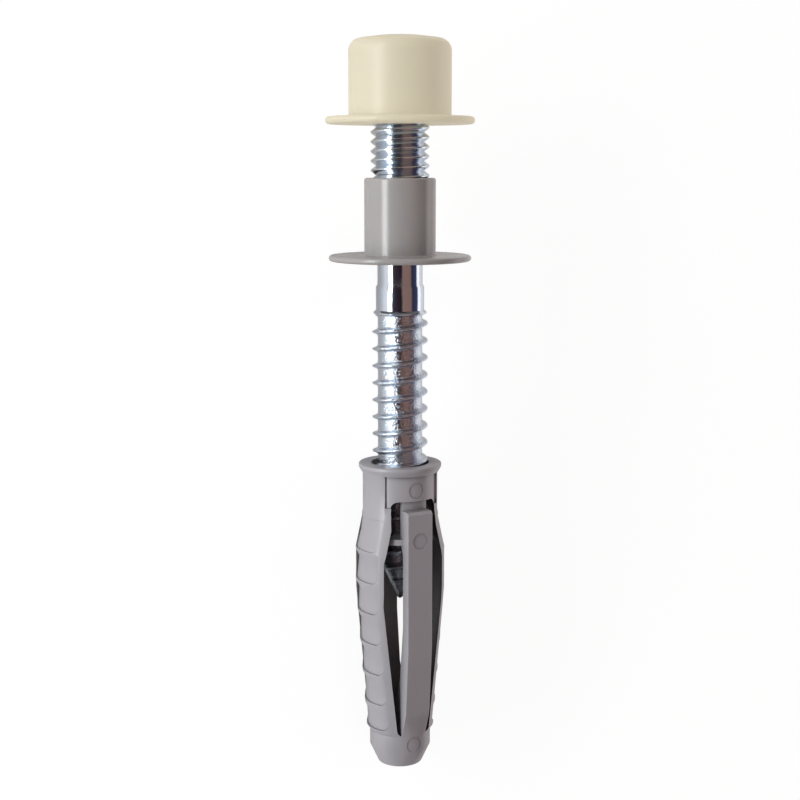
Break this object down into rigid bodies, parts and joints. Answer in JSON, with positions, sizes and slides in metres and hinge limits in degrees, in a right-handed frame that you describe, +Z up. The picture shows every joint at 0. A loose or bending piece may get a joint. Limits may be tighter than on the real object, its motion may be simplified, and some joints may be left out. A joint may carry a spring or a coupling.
{
  "type": "cistern wall fixing",
  "caption": "Wall fixing for a cistern or wash basin: slotted expansion plug, hanger bolt, flanged insulating bush and flanged cap nut on one axis.",
  "frame": {"origin": "centre of the bounding box's base, on the surface the fixing lies on", "axes": "+Y along the fixing towards the cap nut (the fixing's own axis is tipped up by 4 degrees towards the cap, because it lies on the plug's lower tongue and the bush's flange), +Z up, +X to the side"},
  "size_m": [0.0198, 0.0996, 0.0206],
  "materials": {
    "plug_nylon": "satin moulded nylon",
    "zinc_steel": "bright zinc plate with a faint blue tint",
    "bush_nylon": "semi-gloss moulded nylon",
    "cap_nylon": "glossy, slightly translucent natural nylon"
  },
  "bodies": {
    "plug": {"wall_plug": "plug_nylon"},
    "bolt": {"hanger_bolt": "zinc_steel"},
    "bush": {"flanged_bush": "bush_nylon"},
    "cap": {"cap_nut": "cap_nylon"}
  },
  "joints": [
    {"name": "bolt_slide", "type": "slide", "parent": "plug", "child": "bolt", "axis": [0, 0.9976, 0.0695], "range_m": [-0.014, 0.02]},
    {"name": "bush_slide", "type": "slide", "parent": "bolt", "child": "bush", "axis": [0, 0.9976, 0.0695], "range_m": [-0.0132, 0.0068]},
    {"name": "cap_slide", "type": "slide", "parent": "bolt", "child": "cap", "axis": [0, 0.9976, 0.0695], "range_m": [0, 0.012]}
  ]
}
